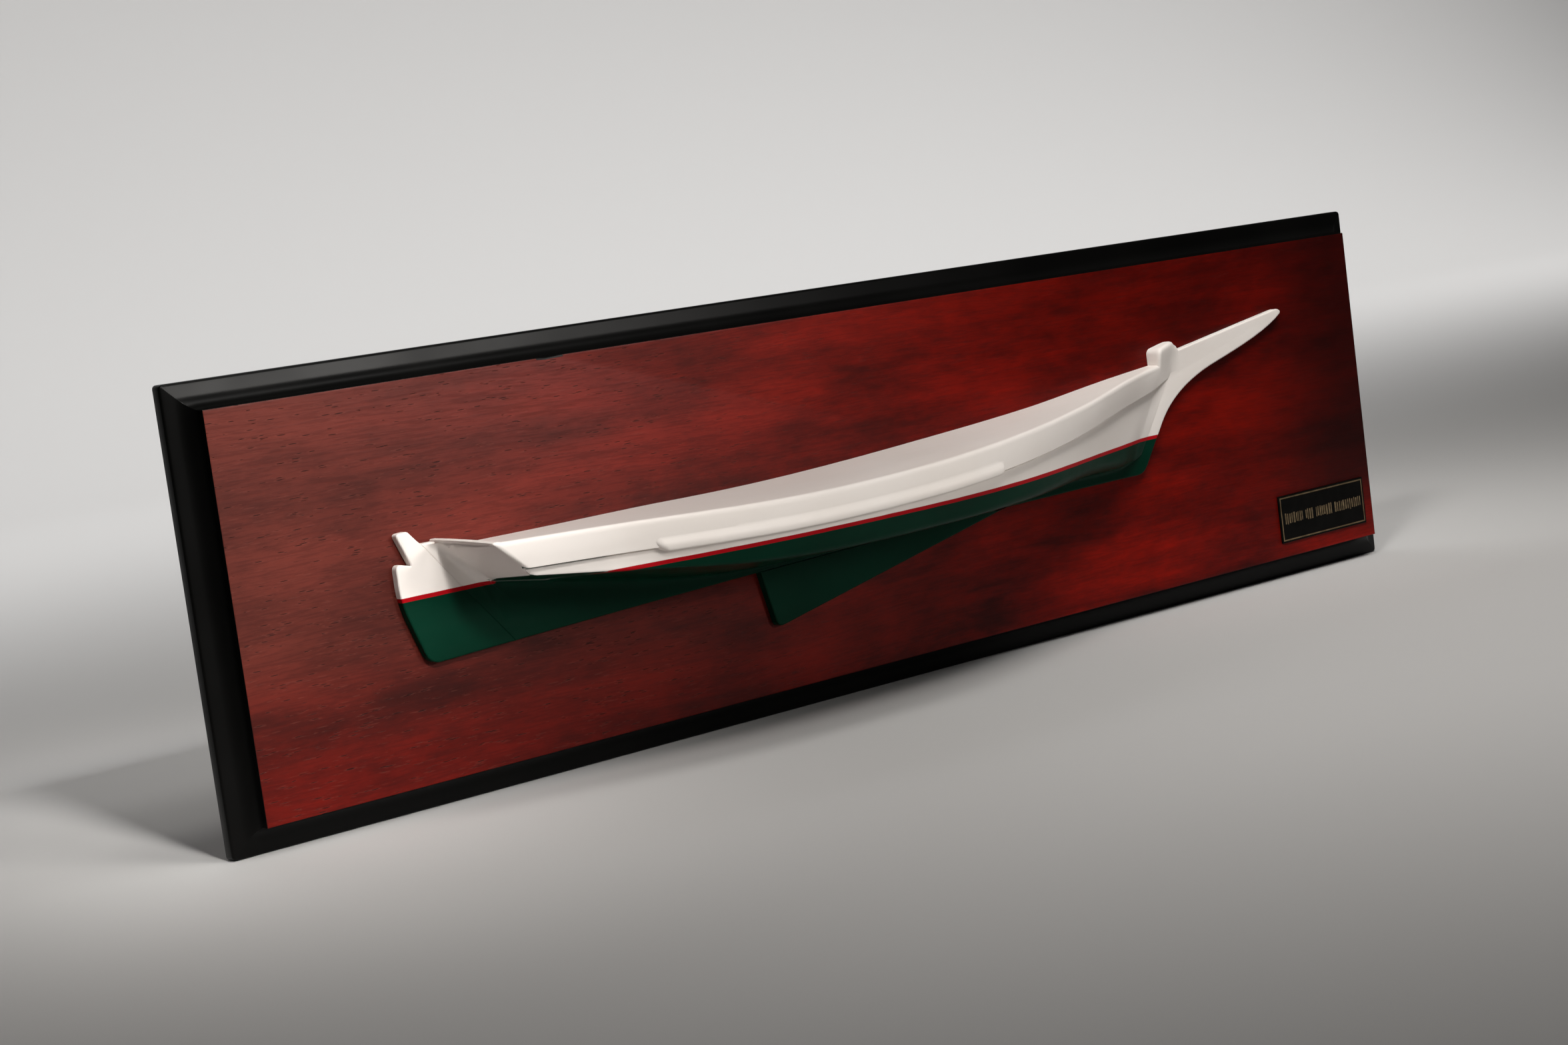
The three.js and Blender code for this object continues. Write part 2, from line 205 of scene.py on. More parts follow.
# Each curve runs from the stern, 0, to the bow, 1. Widths are shares of the half beam, and
# heights are shares of the hull's depth.
deck_plan = fair_curve([
    (0, 0.655), (0.11, 0.785), (0.2, 0.91), (0.3, 0.985), (0.43, 1),
    (0.53, 0.975), (0.65, 0.83), (0.8, 0.51), (0.93, 0.18), (0.975, 0.09), (1, 0.053),
])
chine_plan = fair_curve([
    (0, 0.62), (0.09, 0.745), (0.22, 0.86), (0.35, 0.885), (0.5, 0.88),
    (0.6, 0.84), (0.7, 0.71), (0.85, 0.385), (0.94, 0.2), (0.98, 0.09), (1, 0.053),
])
sheer = fair_curve([
    (0, 0.555), (0.12, 0.515), (0.3, 0.44), (0.43, 0.465),
    (0.6, 0.6), (0.78, 0.8), (0.9, 1.03), (1, 1.2),
])
deck_crown = fair_curve([(0, -0.105), (0.12, -0.065), (0.27, 0.012), (0.6, 0.012), (1, 0.005)])
chine_line = fair_curve([
    (0, -0.05), (0.1, -0.235), (0.22, -0.45), (0.34, -0.55),
    (0.5, -0.545), (0.68, -0.495), (0.85, -0.455), (0.94, -0.525), (0.985, -0.5), (1, -0.42),
])
deadrise = fair_curve([(0, 0.075), (0.25, 0.14), (1, 0.18)])
rail_taper = fair_curve([(0, 0.98), (0.3, 1), (0.9, 1.05), (0.97, 0.97), (1, 0.72)])
pad_foot = fair_curve([(0.13, 1.06), (0.35, 0.97), (0.6, 1)])

# The knightheads' top line, and the longhead's lower edge and tip as three curves of control
# points and a number of steps, all in shares of their length and rise
HEAD_LINE = [
    (0, 0.7), (0.12, 0.77), (0.3, 0.85), (0.45, 0.92),
    (0.68, 1), (0.77, 0.97), (0.81, 0.82), (0.93, 0.76), (1, 0.52),
]
LONGHEAD_CURVES = [
    ([(0.157, 0.28), (0.312, 0.453), (0.504, 0.563)], 20),
    ([(0.66, 0.656), (0.872, 0.781), (0.982, 0.938)], 20),
    ([(0.998, 0.956), (0.992, 1), (0.957, 1)], 8),
]
LONGHEAD_SHOULDER = (0.9, 0.983)

TRANSOM_FOOT = HULL_SHIFT - HULL_LENGTH / 2
STEM_FOOT = HULL_SHIFT + HULL_LENGTH / 2
STERNPOST_TOP = HULL_DEPTH * sheer(0) + STERNPOST_RISE
SKIN_OUT = PROFILE_THICKNESS + SKIN_STEP


def lerp(a, b, t):
    return a + (b - a) * t


def station_x(share, height):
    lean = STEM_RAKE * share**3 - TRANSOM_RAKE * (1 - share) ** 3
    return TRANSOM_FOOT + HULL_LENGTH * share + height * lean


def share_at(x, height):
    """The station that passes through a point, found by a few steps towards it."""
    share = 1.0
    for _ in range(8):
        share = min(max(share + (x - station_x(share, height)) / HULL_LENGTH, 0), 1)
    return share


def sheer_height(share):
    return HULL_DEPTH * sheer(share)


def deck_height(share):
    return HULL_DEPTH * (sheer(share) + deck_crown(share))


def rail_depth(share):
    return RAIL_HEIGHT * rail_taper(share)


def rail_out(share):
    return max(HALF_BEAM * deck_plan(share), PROFILE_THICKNESS)


def rail_bulge(share):
    """How far the rail's face swells, dying away where it meets the stem."""
    return RAIL_BULGE * min((1 - share) / BULGE_FADE, 1)


def sternpost_x(height):
    top = TRANSOM_FOOT - TRANSOM_RAKE * sheer_height(0) - STERNPOST_WIDTH
    return top + STERNPOST_RAKE * (sheer_height(0) - height)


def stem_x(height):
    return STEM_FOOT + STEM_WIDTH + STEM_RAKE * height


KEEL_AFT_X = sternpost_x(-KEEL_DEPTH_AFT)
KEEL_FORE_X = stem_x(-KEEL_DEPTH_FORE)


def keel_height(x):
    left = max((KEEL_FORE_X - x) / (KEEL_FORE_X - KEEL_AFT_X), 0)
    rise = KEEL_DEPTH_AFT - KEEL_DEPTH_FORE
    return -KEEL_DEPTH_AFT + rise * (1 - left**KEEL_SWEEP)


# Outlines


def quarter_turns(steps):
    """Angles over a quarter turn, both ends included."""
    return [math.pi / 2 * i / steps for i in range(steps + 1)]


def bezier(points, steps):
    """Points along a curve of two, three or four control points, both ends included."""
    points = np.array(points, float)
    made = []
    for i in range(steps + 1):
        t = i / steps
        level = points
        while len(level) > 1:
            level = level[:-1] * (1 - t) + level[1:] * t
        made.append(level[0])
    return made


def eased_outline(corners, steps, spans=None, closed=True):
    """An outline whose corners (x, y, easing) are rounded, its straight runs divided."""
    most = 0.45  # the share of a run that one corner's easing may take
    count = len(corners)
    points = []
    for i, (x, y, easing) in enumerate(corners):
        here = np.array((x, y), float)
        inner = closed or 0 < i < count - 1
        if easing and inner:
            before = np.array(corners[i - 1][:2], float) - here
            after = np.array(corners[(i + 1) % count][:2], float) - here
            lengths = np.linalg.norm(before), np.linalg.norm(after)
            reach = min(easing, most * lengths[0], most * lengths[1])
            ends = here + before / lengths[0] * reach, here + after / lengths[1] * reach
            points.append(bezier([ends[0], here, ends[1]], steps))
        else:
            points.append([here])
    made = []
    for i, run in enumerate(points):
        made.extend(run)
        if spans and (closed or i < count - 1):
            after = points[(i + 1) % count][0]
            for j in range(1, spans[i]):
                t = (1 - math.cos(math.pi * j / spans[i])) / 2
                made.append(run[-1] * (1 - t) + after * t)
    return np.array(made)


def inset(outline, by):
    """A closed outline moved inwards by a distance, or one distance for each point."""
    sharpest = 0.35  # holds back the points of very sharp corners
    outline = np.asarray(outline, float)
    before = outline - np.roll(outline, 1, 0)
    after = np.roll(outline, -1, 0) - outline
    x, y = outline.T
    area = (x * np.roll(y, -1) - y * np.roll(x, -1)).sum()
    turn = 1 if area > 0 else -1

    def inward(edge):
        length = np.maximum(np.linalg.norm(edge, axis=1, keepdims=True), 1e-9)
        return turn * np.stack([-edge[:, 1], edge[:, 0]], 1) / length

    a, b = inward(before), inward(after)
    scale = np.maximum(1 + (a * b).sum(1, keepdims=True), sharpest)
    return outline + (a + b) / scale * np.reshape(by, (-1, 1))


def fine_outline(points, longest):
    """A closed outline whose runs are divided so that none is longer than a given length."""
    made = []
    count = len(points)
    for i in range(count):
        a, b = points[i], points[(i + 1) % count]
        pieces = max(1, math.ceil(np.linalg.norm(b - a) / longest))
        made.extend(a + (b - a) * j / pieces for j in range(pieces))
    return np.array(made)


# Meshes


def to_row(points):
    """From the board's face, in millimetres, to the row's frame, in metres."""
    x, y, z = np.asarray(points, float).T
    return np.stack([x * MM, (-BOARD_THICKNESS - z) * MM, y * MM], 1)


def new_object(name, points, faces):
    mesh = bpy.data.meshes.new(name)
    mesh.from_pydata(to_row(points).tolist(), [], faces)
    mesh.update()
    obj = bpy.data.objects.new(name, mesh)
    bpy.context.scene.collection.objects.link(obj)
    return outward(obj)


def vertex_places(mesh):
    places = np.zeros(len(mesh.vertices) * 3)
    mesh.vertices.foreach_get("co", places)
    return places.reshape(-1, 3)


def outward(obj):
    """Turns all faces outwards, by the sign of the volume that they enclose."""
    mesh = obj.data
    mesh.calc_loop_triangles()
    corners = np.zeros(len(mesh.loop_triangles) * 3, int)
    mesh.loop_triangles.foreach_get("vertices", corners)
    a, b, c = vertex_places(mesh)[corners.reshape(-1, 3).T]
    if (a * np.cross(b, c)).sum() < 0:
        mesh.flip_normals()
    return obj


def skin_faces(levels, count, base=0):
    """The faces of a closed surface over some levels of equally many points."""
    faces = []
    for start in range(base, base + (levels - 1) * count, count):
        for j in range(count):
            a, b = start + j, start + (j + 1) % count
            faces.append((a, b, b + count, a + count))
    last = base + (levels - 1) * count
    faces.append(tuple(range(base, base + count))[::-1])
    faces.append(tuple(range(last, last + count)))
    return faces


def skin(name, rings):
    """A closed surface over rings of equally many points."""
    return new_object(name, np.concatenate(rings), skin_faces(len(rings), len(rings[0])))


def evaluated(obj):
    """Bakes an object's modifiers into its mesh."""
    depsgraph = bpy.context.evaluated_depsgraph_get()
    mesh = bpy.data.meshes.new_from_object(obj.evaluated_get(depsgraph))
    obj.modifiers.clear()
    obj.data = mesh


def combine(obj, tool, operation):
    modifier = obj.modifiers.new(operation, "BOOLEAN")
    modifier.operation = operation
    modifier.solver = "MANIFOLD"
    modifier.object = tool
    evaluated(obj)
    bpy.data.objects.remove(tool)
    return obj


def seat_on_face(obj):
    """Cuts away what lies behind the board's red face."""
    x, y, z = BOARD_LENGTH, BOARD_HEIGHT, 2 * HALF_BEAM
    block = [np.array([(-x, -y, h), (x, -y, h), (x, y, h), (-x, y, h)]) for h in (0, z)]
    return combine(obj, skin("keep", block), "INTERSECT")


def smoothed(obj, angle=32):
    """Shades a mesh smoothly, but for its sharp edges."""
    obj.data.shade_smooth()
    obj.data.set_sharp_from_angle(angle=math.radians(angle))
    return obj


def flat_piece(name, outline, thickness, rounding, back=BEHIND_FACE, inner=()):
    """A flat piece proud of the board's face, the edge of its front rounded by one radius, or
    by one for each point of its outline, and its front divided by rings towards its middle."""
    rounding = rounding * np.ones(len(outline))
    band = 0.4  # a narrow flat band at both sides of the rounding, for its shading

    def ring(by, height):
        return np.column_stack([inset(outline, by), height * np.ones(len(outline))])

    rings = [ring(0, back), ring(0, thickness - rounding - band)]
    for turn in quarter_turns(5):
        height = thickness - rounding * (1 - math.sin(turn))
        rings.append(ring(rounding * (1 - math.cos(turn)), height))
    front = ring(rounding + band, thickness)
    rings.append(front)
    rings.extend(lerp(front, front.mean(0), share) for share in inner)
    return skin(name, rings)


# Half hull, rudder and centreboard


def hull_section(share, ledge=True):
    """The hull's outline at one station, with the ledge under its rail or eased without it."""
    out = rail_out(share)
    top = sheer_height(share)
    low = top - rail_depth(share)
    side = max(out - RAIL_PROUD, PROFILE_THICKNESS)
    bulge = rail_bulge(share)
    if ledge:
        # a thin groove runs along the rail's foot, deeper towards the bow
        wide = lerp(GROOVE_SHARE_AFT, 1, share) * RAIL_GROOVE
        lip = (out + bulge * LIP_BULGE, low)
        groove = [(side - wide, low + GROOVE_UNDERCUT), (side - wide, low - wide * GROOVE_SLOPE)]
        under = low - wide
    else:
        # the groove's corners lie flat on the side
        lip = ((out + side) / 2, low + RAIL_PROUD)
        under = low - RAIL_PROUD
        groove = [(side, under + 1), (side, under + 0.7)]
    chine_out = max(HALF_BEAM * chine_plan(share), PROFILE_THICKNESS)
    chine_height = HULL_DEPTH * chine_line(share)
    falling = chine_height - deadrise(share) * (chine_out - PROFILE_THICKNESS)
    keel = keel_height(station_x(share, falling)) + PROFILE_ROUNDING
    keel_top = max(falling, keel + PROFILE_ROUNDING)
    fillet = min(BILGE_FILLET, keel_top - keel)
    corners = [
        (-PROFILE_THICKNESS, deck_height(share), 0),
        (0, deck_height(share), 0),
        (out, top, RAIL_ROUNDING),
        (out + bulge, (top + low) / 2, RAIL_HEIGHT / 4),
        (*lip, LIP_ROUNDING),
        (*groove[0], 0),
        (*groove[1], 0),
        (side, under, GROOVE_ROUNDING),
        (chine_out, chine_height, lerp(CHINE_ROUNDING, BOW_ROUNDING, share)),
        (SKIN_OUT, keel_top, fillet),
        (SKIN_OUT, keel_top - fillet, 0),
        (-PROFILE_THICKNESS, keel_top - fillet, 0),
    ]
    return eased_outline(corners, 6, SECTION_DIVISIONS)


def section_ring(outline, share, shift=0):
    """A section's outline set up at its station, and shifted along the hull."""
    return np.array([(station_x(share, y) + shift, y, x) for x, y in outline])


def soft_lesser(a, b):
    """The lesser of two widths, with a soft turn from one to the other."""
    return (a**-3 + b**-3) ** (-1 / 3)


def fairing_section(aft):
    """The transom's section narrowed towards the sternpost, its deck level with the sheer."""
    narrowed = SKIN_OUT + STERN_FAIRING * (1 - math.sqrt(1 - (1 - aft) ** 2))
    made = hull_section(0, ledge=False)
    deck_points = 2
    for i, point in enumerate(made):
        point[0] = soft_lesser(point[0], narrowed) if point[0] > 0 else point[0] / 2
        if i < deck_points:
            point[1] = sheer_height(0)
    return made


def hull_body():
    rings = []
    fairings, crowding = 16, 1.6
    for i in range(fairings + 1):
        aft = (1 - i / fairings) ** crowding
        rings.append(section_ring(fairing_section(aft), 0, -aft * STERN_FAIRING))
    # the transom's edge, rounded clear of the sternpost
    plain, ledged = hull_section(0, ledge=False), hull_section(0)
    clear = np.clip((plain[:, 0] - TRANSOM_EDGE_START) / TRANSOM_EDGE_FADE, 0, 1)
    turns = quarter_turns(4)[:-1]
    for i, turn in enumerate(turns):
        edge = lerp(plain, ledged, i / (len(turns) - 1))
        by = TRANSOM_ROUNDING * (1 - math.sin(turn))
        shift = TRANSOM_EDGE_LENGTH * (1 - math.cos(turn))
        rings.append(section_ring(inset(edge, by * clear), 0, shift))
    # the stations lie closer together towards both ends
    stations, crowding = 220, 0.6
    for i in range(stations + 1):
        turn = 2 * math.pi * i / stations
        along = (turn - math.sin(turn) * crowding) / (2 * math.pi)
        share = lerp(TRANSOM_EDGE_LENGTH / HULL_LENGTH, 1, along)
        rings.append(section_ring(hull_section(share), share))
    return skin("hull", rings)


def seam_rounding(outline, at_seam):
    """The rounding of an edge, which is smaller where the rudder meets the sternpost."""
    reach = 1
    away = np.array([abs(x - sternpost_x(y)) for x, y in outline])
    low, high = -KEEL_DEPTH_AFT - reach, STERNPOST_TOP + reach / 2
    along = np.array([low < y < high for _, y in outline])
    return np.where(along & (away < reach), at_seam, PROFILE_ROUNDING)


def profile():
    """Sternpost, deadwood, keel, stem and longhead, which are one flat piece."""
    points = [(sternpost_x(STERNPOST_TOP), STERNPOST_TOP), (KEEL_AFT_X, -KEEL_DEPTH_AFT)]
    foot = KEEL_FORE_X - FOREFOOT_RADIUS
    keel_steps = 40
    for i in range(1, keel_steps + 1):
        x = lerp(KEEL_AFT_X, foot, i / keel_steps)
        points.append((x, keel_height(x)))
    rounded = FOREFOOT_RADIUS - KEEL_DEPTH_FORE
    fore = [points[-1], (KEEL_FORE_X, -KEEL_DEPTH_FORE), (stem_x(rounded), rounded)]
    points.extend(bezier(fore, 8)[1:])
    points.append((stem_x(0), 0))

    def head(along, up):
        return (STEM_FOOT + LONGHEAD_REACH * along, LONGHEAD_RISE * up)

    for controls, steps in LONGHEAD_CURVES:
        points.extend(bezier([points[-1], *(head(*c) for c in controls)], steps)[1:])
    points.append(head(*LONGHEAD_SHOULDER))
    # the rest lies inside the hull body
    inner_share = 0.1
    inner = TRANSOM_FOOT + HULL_LENGTH * inner_share
    root = sheer_height(1)
    points.append((station_x(1, root) - STEM_WIDTH, root + LONGHEAD_RISE / 20))
    points.append((station_x(1, root) - 2 * STEM_WIDTH, root - RAIL_HEIGHT / 2))
    points.append((STEM_FOOT - 2 * STEM_WIDTH, 0))
    points.append((inner, 0))
    points.append((inner, sheer_height(inner_share) / 2))
    points.append((station_x(0, STERNPOST_TOP), STERNPOST_TOP))
    outline = fine_outline([np.array(p) for p in points], 8)
    rounding = seam_rounding(outline, SEAM_ROUNDING)
    return flat_piece("profile", outline, PROFILE_THICKNESS, rounding)


def rubbing_pad():
    rings = []
    stations = 110
    for i in range(stations + 1):
        turn = math.pi * i / stations
        share = PAD_START + (PAD_END - PAD_START) * (1 - math.cos(turn)) / 2
        from_end = min(share - PAD_START, PAD_END - share) * HULL_LENGTH
        close = min(from_end / (PAD_HEIGHT / 2), 1)
        full = max(math.sqrt(1 - (1 - close) ** 2), PAD_TIP)
        lowest = sheer_height(share) - rail_depth(share) * pad_foot(share) - PAD_DROP
        middle = lowest + PAD_HEIGHT / 2
        half = PAD_HEIGHT / 2 * full
        inside = rail_out(share) - RAIL_PROUD * 2
        outside = rail_out(share) + PAD_PROUD * full
        corners = [
            (inside, middle + half, 0),
            (rail_out(share) + RAIL_BULGE / 2, middle + half, PAD_EASING),
            (outside, middle - half / 5, half * 3 / 4),
            (outside - PAD_PROUD / 6, middle - half, PAD_PROUD / 2),
            (inside, middle - half, 0),
        ]
        rings.append(section_ring(eased_outline(corners, 6, [2, 2, 1, 2, 1]), share))
    return skin("pad", rings)


def taffrail():
    end = rail_out(0) - RAIL_ROUNDING / 2
    low = sheer_height(0) - 2 * TAFFRAIL_ROUNDING
    rings = []
    for turn in quarter_turns(30):
        out = lerp(-PROFILE_THICKNESS, end, math.sin(turn))
        top = sheer_height(0) + TAFFRAIL_RISE * (1 - (out / end) ** 2)
        corners = [
            (0, low, 0),
            (0, top, TAFFRAIL_ROUNDING),
            (TAFFRAIL_THICKNESS, top, TAFFRAIL_THICKNESS / 4),
            (TAFFRAIL_THICKNESS, low, 0),
        ]
        outline = eased_outline(corners, 8, [2, 1, 2, 1])
        rings.append(np.array([(station_x(0, y) + x, y, out) for x, y in outline]))
    return skin("taffrail", rings)


def knightheads():
    end_x = station_x(1, sheer_height(1) + KNIGHTHEAD_RISE / 2)
    aspect = KNIGHTHEAD_LENGTH / KNIGHTHEAD_RISE
    easing = 0.1
    line = [(along * aspect, rise, easing) for along, rise in HEAD_LINE]
    rings = []
    for along, rise in eased_outline(line, 4, [8] + [2] * (len(line) - 1), closed=False):
        along = along / aspect
        close = min(along * KNIGHTHEAD_LENGTH / KNIGHTHEAD_NOSE, 1)
        back = KNIGHTHEAD_NOSE * (1 - math.sqrt(1 - (1 - close) ** 2))
        x = end_x - KNIGHTHEAD_LENGTH * (1 - along)
        top = sheer_height(1) + KNIGHTHEAD_RISE * rise - back
        low = deck_height(share_at(x, sheer_height(1))) - RAIL_HEIGHT / 2

        def out_at(height):
            share = share_at(x, height)
            side = rail_out(share) + rail_bulge(share) - back
            return lerp(side, PROFILE_THICKNESS - SKIN_STEP, along**4)

        corners = [
            (-PROFILE_THICKNESS, low, 0),
            (out_at(low), low, 0),
            (out_at(top), top, KNIGHTHEAD_ROUNDING),
            (-PROFILE_THICKNESS, top, 0),
        ]
        outline = eased_outline(corners, 6, [1, 4, 2, 1])
        rings.append(np.array([(x, y, z) for z, y in outline]))
    return skin("knightheads", rings)


def half_hull():
    hull = hull_body()
    for part in (profile(), rubbing_pad(), taffrail(), knightheads()):
        combine(hull, part, "UNION")
    return smoothed(seat_on_face(hull))


def rudder():
    def edge(height):
        return sternpost_x(height) - SEAM

    stock_top = STERNPOST_TOP + STOCK_RISE
    stock_x = edge(STERNPOST_TOP) - STOCK_RISE * STOCK_RAKE
    low = -KEEL_DEPTH_AFT - RUDDER_DROP
    blade_top = low + BLADE_HEIGHT
    blade_x = edge(blade_top) - BLADE_CHORD
    corners = [
        (edge(-KEEL_DEPTH_AFT), -KEEL_DEPTH_AFT, 0),
        (edge(STERNPOST_TOP), STERNPOST_TOP, 0),
        (stock_x, stock_top, STOCK_WIDTH / 5),
        (stock_x - STOCK_WIDTH, stock_top - STOCK_WIDTH / 12, STOCK_WIDTH / 3),
        (blade_x + STOCK_WIDTH * 5 / 4, blade_top - STOCK_WIDTH / 3, 1),
        (blade_x, blade_top, BLADE_CHORD / 5),
        (blade_x, low + BLADE_HEIGHT * BLADE_SHOULDER, BLADE_CHORD / 2),
        (edge(low) - HEEL_CHORD, low, HEEL_CHORD / 8),
    ]
    outline = fine_outline(eased_outline(corners, 10), 4)
    rounding = seam_rounding(outline, BLADE_ROUNDING)
    blade = flat_piece("rudder_blade", outline, PROFILE_THICKNESS, rounding)
    return smoothed(seat_on_face(blade))


def centreboard():
    start = station_x(CENTREBOARD_START, 0)
    end = start + CENTREBOARD_LENGTH
    corners = []
    steps = 24
    for i in range(steps + 1):
        x = end - CENTREBOARD_LENGTH * i / steps
        corners.append((x, keel_height(x) - SEAM, 0))
    heel_x = start + CENTREBOARD_DROP * CENTREBOARD_RAKE
    corners.append((heel_x, keel_height(start) - SEAM - CENTREBOARD_DROP, CENTREBOARD_HEEL))
    outline = fine_outline(eased_outline(corners, 8), 6)
    below = np.array([keel_height(x) - y for x, y in outline])
    rounding = np.where(below < 2 * SEAM, BLADE_ROUNDING, PROFILE_ROUNDING)
    fin = flat_piece("centreboard_fin", outline, PROFILE_THICKNESS, rounding)
    return smoothed(seat_on_face(fin))


# Backboard and name plate


def board_ring(out, height, radius):
    """A rectangle a distance outside the face's edge, its corners rounded."""
    corner_steps, long_steps, short_steps = 4, 150, 44
    half = np.array([FACE_HALF_LENGTH + out - radius, FACE_HALF_HEIGHT + out - radius])
    arcs = []
    for quarter, signs in enumerate(QUARTERS):
        turns = [math.pi / 2 * quarter + turn for turn in quarter_turns(corner_steps)]
        arcs.append([half * signs + radius * np.array([math.cos(t), math.sin(t)]) for t in turns])
    points = []
    for quarter, arc in enumerate(arcs):
        points.extend(arc)
        after = arcs[(quarter + 1) % 4][0]
        steps = short_steps if quarter % 2 else long_steps
        points.extend(lerp(arc[-1], after, i / steps) for i in range(1, steps))
    return np.column_stack([np.array(points), np.full(len(points), height)])


def backboard():
    back = -BOARD_THICKNESS
    rings = [board_ring(MOULDING_WIDTH - BACK_INSET, back, BOARD_CORNER)]
    for turn in quarter_turns(4):
        out = MOULDING_WIDTH - BACK_ROUNDING * (1 - math.sin(turn))
        height = back + BACK_ROUNDING * (1 - math.cos(turn))
        rings.append(board_ring(out, height, BOARD_CORNER))
    nosing = MOULDING_WIDTH - EDGE_ROUNDING
    edge = -MOULDING_DEPTH - LEDGE_FALL
    for turn in quarter_turns(4):
        out = nosing + EDGE_ROUNDING * math.cos(turn)
        height = edge - EDGE_ROUNDING * (1 - math.sin(turn))
        rings.append(board_ring(out, height, BOARD_CORNER * math.cos(turn) + NOSING_CORNER))
    # the cove runs on into the ledge, which falls a little towards the edge
    cove_width = MOULDING_WIDTH - LEDGE_WIDTH
    cove_turn = math.pi / 2 - math.atan(LEDGE_FALL / (nosing - cove_width))
    cove_steps = 20
    cove = []
    for i in range(cove_steps + 1):
        turn = cove_turn * (1 - i / cove_steps)
        out = cove_width * (1 - math.cos(turn)) + QUIRK_WIDTH
        cove.append((out, -QUIRK_DEPTH - (MOULDING_DEPTH - QUIRK_DEPTH) * math.sin(turn)))
    for share in (0.75, 0.5, 0.25):
        out, height = lerp(cove[0][0], nosing, share), lerp(cove[0][1], edge, share)
        rings.append(board_ring(out, height, LEDGE_CORNER))
    rings.extend(board_ring(out, height, ARRIS) for out, height in cove)
    # the face's own edge
    rings.append(board_ring(0, -ARRIS * 3, ARRIS))
    for turn in quarter_turns(2):
        out, height = -ARRIS * (1 - math.cos(turn)), -ARRIS * (1 - math.sin(turn))
        rings.append(board_ring(out, height, ARRIS))
    rings.append(board_ring(-FACE_BAND, 0, ARRIS))
    return smoothed(chipped(skin("board", rings)), 40)


def chipped(board):
    """Knocks a small chip out of the top edge of the face."""
    places = vertex_places(board.data)
    along = (places[:, 0] / MM - CHIP_X) / CHIP_LENGTH
    up = (places[:, 2] / MM - FACE_HALF_HEIGHT) / CHIP_HEIGHT
    near = np.exp(-(along**2 + up**2))
    near *= np.abs(places[:, 1] / MM + BOARD_THICKNESS) < CHIP_REACH
    places[:, 1] += CHIP_DEPTH * MM * near
    places[:, 2] -= CHIP_DROP * MM * near
    board.data.vertices.foreach_set("co", places.ravel())
    return board


def name_plate():
    half_x, half_y = PLATE_LENGTH / 2, PLATE_HEIGHT / 2
    corners = [
        (PLATE_X + sx * half_x, PLATE_Y + sy * half_y, PLATE_CORNER) for sx, sy in QUARTERS
    ]
    outline = fine_outline(eased_outline(corners, 4), 6)
    return smoothed(flat_piece("plate", outline, PLATE_THICKNESS, PLATE_ARRIS, 0, PLATE_RINGS))


def plate_strokes():
    """One row of shallow upright strokes, in the place of lettering."""
    random = np.random.default_rng(7)
    points, faces = [], []
    at = PLATE_X - ROW_HALF_LENGTH
    made = 0
    while at < PLATE_X + ROW_HALF_LENGTH:
        width = random.uniform(*STROKE_WIDTHS)
        tall = random.uniform(*STROKE_HEIGHTS) * STROKE_HALF_HEIGHT
        middle = PLATE_Y + random.uniform(*STROKE_SHIFTS)
        foot = np.array([
            (at, middle - tall), (at + width, middle - tall),
            (at + width, middle + tall), (at, middle + tall),
        ])
        levels = [
            (foot, -STROKE_SUNK),
            (foot, STROKE_PROUD - STROKE_BEVEL),
            (inset(foot, STROKE_INSET), STROKE_PROUD),
        ]
        faces.extend(skin_faces(len(levels), len(foot), sum(len(p) for p in points)))
        for outline, up in levels:
            points.append(np.column_stack([outline, np.full(len(foot), PLATE_THICKNESS + up)]))
        at += width + random.uniform(*STROKE_GAPS)
        made += 1
        if made in ROW_BREAKS:
            at += ROW_BREAK_WIDTH
    return new_object("plate_strokes", np.concatenate(points), faces)


# Materials


def four(value):
    """A colour with its fourth part, and any other value as it is."""
    return (*value, 1) if isinstance(value, tuple) and len(value) == 3 else value


